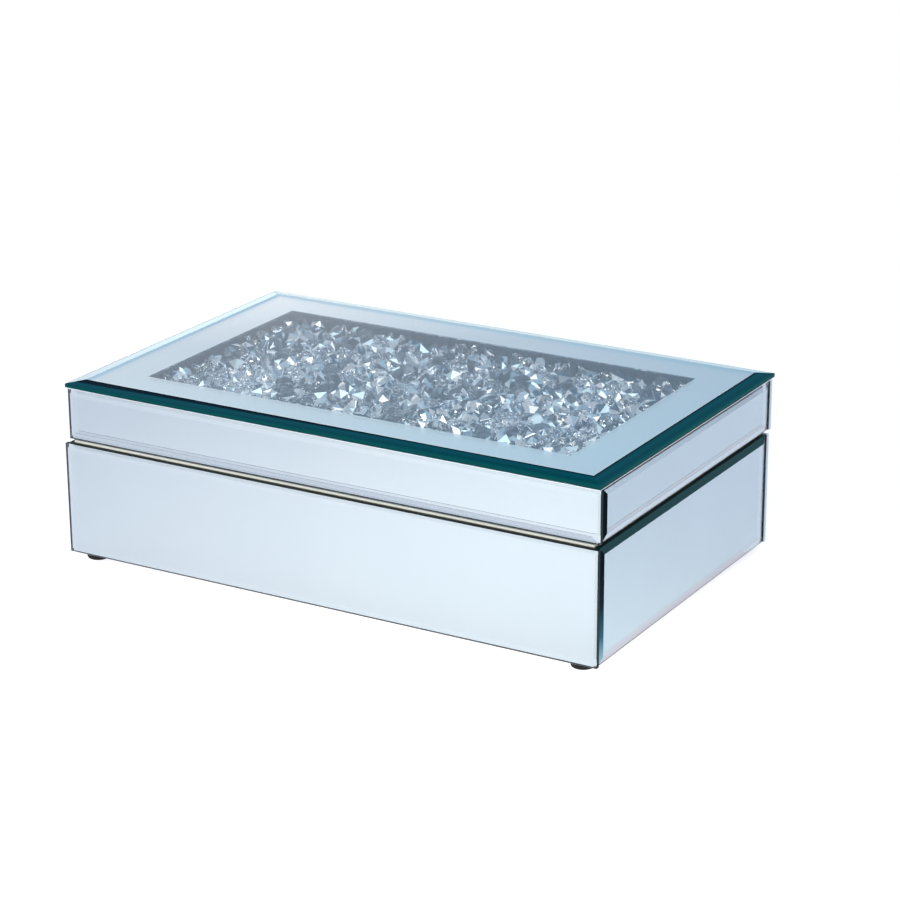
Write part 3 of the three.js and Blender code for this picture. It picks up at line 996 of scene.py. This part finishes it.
def wood_screw(node, body):
    """A countersunk cross-head screw. In the base its head is up, in the lid it is down."""
    low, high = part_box(node)
    radius = (high.x - low.x) / 2
    length = high.z - low.z
    shank = SCREW_SHANK
    profile = [(0, -length), (shank * 0.4, -length + 0.8 * MM)]
    thread_top = -length + 5.2 * MM
    for i in range(SCREW_TURNS):
        root_height = -length + 1.2 * MM + (thread_top + length - 1.2 * MM) * i / SCREW_TURNS
        profile.append((shank * SCREW_ROOT, root_height))
        profile.append((shank, root_height + 0.22 * MM))
        profile.append((shank * SCREW_ROOT, root_height + 0.44 * MM))
    head = radius - shank
    profile += [(shank * 0.8, -head - 0.3 * MM), (shank, -head), (radius, -0.06 * MM)]
    profile += [(radius - 0.06 * MM, 0), (0, 0)]
    bm = bmesh.new()
    lathe(bm, profile, 40)
    slots = []
    for turn in (0, math.pi / 2):
        slot = bmesh.new()
        wide, thin, deep = CROSS_SLOT
        top = ring(slot, wide, thin, 0.1 * MM)
        bottom = ring(slot, wide * 0.45, thin * 0.8, -deep)
        bridge(slot, bottom, top)
        slot.faces.new(top)
        slot.faces.new(list(reversed(bottom)))
        bmesh.ops.recalc_face_normals(slot, faces=slot.faces)
        bmesh.ops.rotate(slot, verts=slot.verts, matrix=Matrix.Rotation(turn + CROSS_TURN, 3, "Z"))
        slots.append(slot)
    bm = carve(bm, slots, "DIFFERENCE")
    centre = (low + high) / 2
    if body == "base":
        place = Matrix.Translation((centre.x, centre.y, high.z))
    else:
        place = Matrix.Translation((centre.x, centre.y, low.z)) @ Matrix.Rotation(math.pi, 4, "X")
    bmesh.ops.transform(bm, matrix=place, verts=bm.verts)
    return finish_piece(f"{node}_cross", bm, [STEEL], body, [node], smooth=True)


def hinges():
    for side in ("left", "right"):
        hinge_pin(f"hinge_{side}_pin")
        for body in ("base", "lid"):
            hinge_leaf(f"hinge_{side}_{body}_leaf", body)
            for label in ("a", "b"):
                wood_screw(f"hinge_{side}_{body}_screw_{label}", body)


# ================================ stage, light and camera ================================
def camera():
    """Turned and set off from a point under the middle of the plate."""
    low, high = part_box("top_plate")
    angles = (CAMERA_AZIMUTH, CAMERA_ELEVATION, CAMERA_ROLL)
    azimuth, elevation, roll = (math.radians(angle) for angle in angles)
    back = Vector((
        math.sin(azimuth) * math.cos(elevation),
        -math.cos(azimuth) * math.cos(elevation),
        math.sin(elevation),
    ))
    right = Vector((math.cos(azimuth), math.sin(azimuth), 0))
    up = back.cross(right)
    rolled_right = right * math.cos(roll) + up * math.sin(roll)
    rolled_up = up * math.cos(roll) - right * math.sin(roll)
    middle = Vector(((low.x + high.x) / 2, (low.y + high.y) / 2, low.z - CAMERA_DROP))
    target = middle + right * CAMERA_ASIDE + up * CAMERA_RAISE
    data = bpy.data.cameras.new("camera")
    data.lens = CAMERA_LENS
    data.clip_end = 50
    item = bpy.data.objects.new("camera", data)
    turn = Matrix((rolled_right, rolled_up, back)).transposed().to_4x4()
    item.matrix_world = Matrix.Translation(target + back * CAMERA_DISTANCE) @ turn
    bpy.context.scene.collection.objects.link(item)
    bpy.context.scene.camera = item


def floor():
    """A white sweep that glows, brightest in front of the box: painted light, a painted pool of
    light that also lightens the shade under the box.
    """
    n = Nodes("floor")
    haze = n.noise(1.5, 2.0)
    away = n.add("VectorMath", {0: n.place(), 1: GLOW_CENTRE}, operation="DISTANCE")
    fade = n.add(
        "MapRange",
        {"Value": away.outputs["Value"], "From Min": 0.0, "From Max": GLOW_REACH},
        interpolation_type="SMOOTHSTEP",
    ).outputs["Result"]
    n.principled(
        Base_Color=n.between(haze, (0.38, 0.38, 0.385), (0.42, 0.42, 0.425)),
        Roughness=0.9,
        Specular_IOR_Level=0.1,
        # Painted light: the floor's own glow, strongest near GLOW_CENTRE and fading out over
        # GLOW_REACH.
        Emission_Color=n.between(fade, (1.22, 1.23, 1.22), (0.71, 0.70, 0.77)),
        Emission_Strength=1.0,
    )
    bm = bmesh.new()
    bmesh.ops.create_grid(bm, x_segments=8, y_segments=8, size=FLOOR_HALF)
    mesh = bpy.data.meshes.new("floor")
    bm.to_mesh(mesh)
    bm.free()
    mesh.materials.append(n.material)
    item = bpy.data.objects.new("floor", mesh)
    bpy.context.scene.collection.objects.link(item)


def sky():
    """A white sweep low down, brightest at the left, with dark bands higher up and a bright
    cap overhead. Each ramp's stops are (height, colour)."""
    world = bpy.data.worlds.new("studio")
    bpy.context.scene.world = world
    world.use_nodes = True
    tree = world.node_tree
    tree.nodes.clear()
    link = tree.links.new

    def ramp(factor, stops):
        node = tree.nodes.new("ShaderNodeValToRGB")
        elements = node.color_ramp.elements
        for place, colour in stops[1:-1]:
            elements.new(place)
        for element, (place, colour) in zip(elements, stops):
            element.position = place
            element.color = (*colour, 1)
        link(factor, node.inputs["Fac"])
        return node.outputs["Color"]

    place = tree.nodes.new("ShaderNodeTexCoord").outputs["Generated"]
    split = tree.nodes.new("ShaderNodeSeparateXYZ")
    link(place, split.inputs[0])
    sideways = tree.nodes.new("ShaderNodeMapRange")
    sideways.inputs["From Min"].default_value = -0.58
    sideways.inputs["From Max"].default_value = -0.36
    link(split.outputs["X"], sideways.inputs["Value"])
    sweep = ramp(split.outputs["Z"], [
        (0.00, (1.80, 1.80, 1.84)),
        (0.20, (1.70, 1.70, 1.76)),
        (0.27, (1.12, 1.08, 1.15)),
        (0.297, (0.64, 0.69, 0.80)),
        (0.333, (0.60, 0.72, 0.85)),
        (0.385, (0.52, 0.65, 0.80)),
        (0.57, (0.54, 0.66, 0.80)),
        (0.60, (0.02, 0.07, 0.12)),
        (0.70, (0.02, 0.07, 0.12)),
        (0.73, (0.62, 0.68, 0.78)),
        (0.77, (0.62, 0.68, 0.78)),
        (0.80, (0.02, 0.05, 0.09)),
        (0.86, (0.02, 0.05, 0.09)),
        (0.90, (2.30, 2.40, 2.50)),
        (1.00, (2.30, 2.40, 2.50)),
    ])
    fade = ramp(sideways.outputs["Result"], [(0.0, (1.03, 1.12, 1.10)), (1.0, (0.63, 0.81, 0.89))])
    behind = ramp(split.outputs["Z"], [
        (0.00, (1.70, 1.75, 1.84)),
        (0.22, (0.90, 0.96, 1.04)),
        (0.40, (0.72, 0.80, 0.90)),
        (0.60, (0.50, 0.56, 0.63)),
        (1.00, (0.30, 0.36, 0.42)),
    ])

    def mixed(kind, factor, first, second):
        mix = tree.nodes.new("ShaderNodeMix")
        mix.data_type = "RGBA"
        mix.blend_type = kind
        if isinstance(factor, float):
            mix.inputs["Factor"].default_value = factor
        else:
            link(factor, mix.inputs["Factor"])
        link(first, mix.inputs[6])
        link(second, mix.inputs[7])
        return mix.outputs[2]

    facing = tree.nodes.new("ShaderNodeMapRange")
    facing.inputs["From Min"].default_value = 0.15
    facing.inputs["From Max"].default_value = -0.15
    link(split.outputs["Y"], facing.inputs["Value"])
    light = mixed("MULTIPLY", 1.0, sweep, fade)
    light = mixed("MIX", facing.outputs["Result"], light, behind)
    background = tree.nodes.new("ShaderNodeBackground")
    link(light, background.inputs["Color"])
    out = tree.nodes.new("ShaderNodeOutputWorld")
    link(background.outputs[0], out.inputs["Surface"])


def softbox(name, place, aim, size, power):
    data = bpy.data.lights.new(name, "AREA")
    data.shape = "RECTANGLE"
    data.size, data.size_y = size
    data.energy = power
    item = bpy.data.objects.new(name, data)
    item.location = place
    item.rotation_mode = "QUATERNION"
    item.rotation_quaternion = (Vector(aim) - Vector(place)).to_track_quat("-Z", "Y")
    bpy.context.scene.collection.objects.link(item)


def sun(name, toward, spread, strength):
    data = bpy.data.lights.new(name, "SUN")
    data.angle = math.radians(spread)
    data.energy = strength
    item = bpy.data.objects.new(name, data)
    item.rotation_mode = "QUATERNION"
    item.rotation_quaternion = (-Vector(toward)).to_track_quat("-Z", "Y")
    bpy.context.scene.collection.objects.link(item)


camera()
floor()
sky()
sun("daylight", toward=(0.55, -0.75, 1.5), spread=45, strength=0.6)
softbox("key", place=(0.25, -0.55, 0.80), aim=(0.0, -0.05, 0.05), size=(0.25, 0.25), power=1.2)

OUTWARD = {
    "front": Vector((0, -1, 0)),
    "back": Vector((0, 1, 0)),
    "left": Vector((-1, 0, 0)),
    "right": Vector((1, 0, 0)),
}
for body_name in ("base", "lid"):
    for side, outward in OUTWARD.items():
        glass_side(f"{body_name}_mirror_{side}", body_name, outward)
top_plate()
crystals()

velvet_pad("floor_pad", "base", face=1, start=3.2 * MM, rise=1.4 * MM)
velvet_pad("lid_lining_pad", "lid", face=-1, start=2.3 * MM, rise=1.2 * MM)
for side in OUTWARD:
    covered_board(f"base_lining_{side}", "base", 0.42 * MM)
    covered_board(f"lid_rail_{side}", "lid", 0.9 * MM)
    if side != "back":
        # The rim linings take the brighter velvet: painted light.
        covered_board(f"rim_lining_{side}", "base", 0.22 * MM, cover=RIM_VELVET_PAINTED_LIGHT)
notches = []
for side in ("left", "right"):
    leaf_low, leaf_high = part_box(f"hinge_{side}_base_leaf")
    notches.append((leaf_low.x - NOTCH_ROOM, leaf_high.x + NOTCH_ROOM, leaf_low.y - NOTCH_ROOM))
# The back rim lining also takes the brighter velvet, painted light.
covered_board("rim_lining_back", "base", 0.25 * MM, gaps=notches, cover=RIM_VELVET_PAINTED_LIGHT)
covered_board(
    "base_underside_felt", "base", 0.25 * MM, cell=7 * MM, cover=FELT, slot="black_felt",
)
for row in ("front", "back"):
    for side in ("left", "right"):
        rubber_foot(f"foot_{row}_{side}")
hinges()

# Every CAD node that stays takes its own slot's material.
for row in frame["record"]["subparts"]:
    kept = frame["nodes"][row["node"]]
    kept.data.materials.clear()
    kept.data.materials.append(SLOT_MATERIALS[row["material_slot"]])

scene = bpy.context.scene
scene.view_settings.view_transform = "Standard"
scene.cycles.use_denoising = True
scene.cycles.max_bounces = 64
scene.cycles.transmission_bounces = 48
scene.cycles.glossy_bounces = 48
scene.cycles.diffuse_bounces = 4
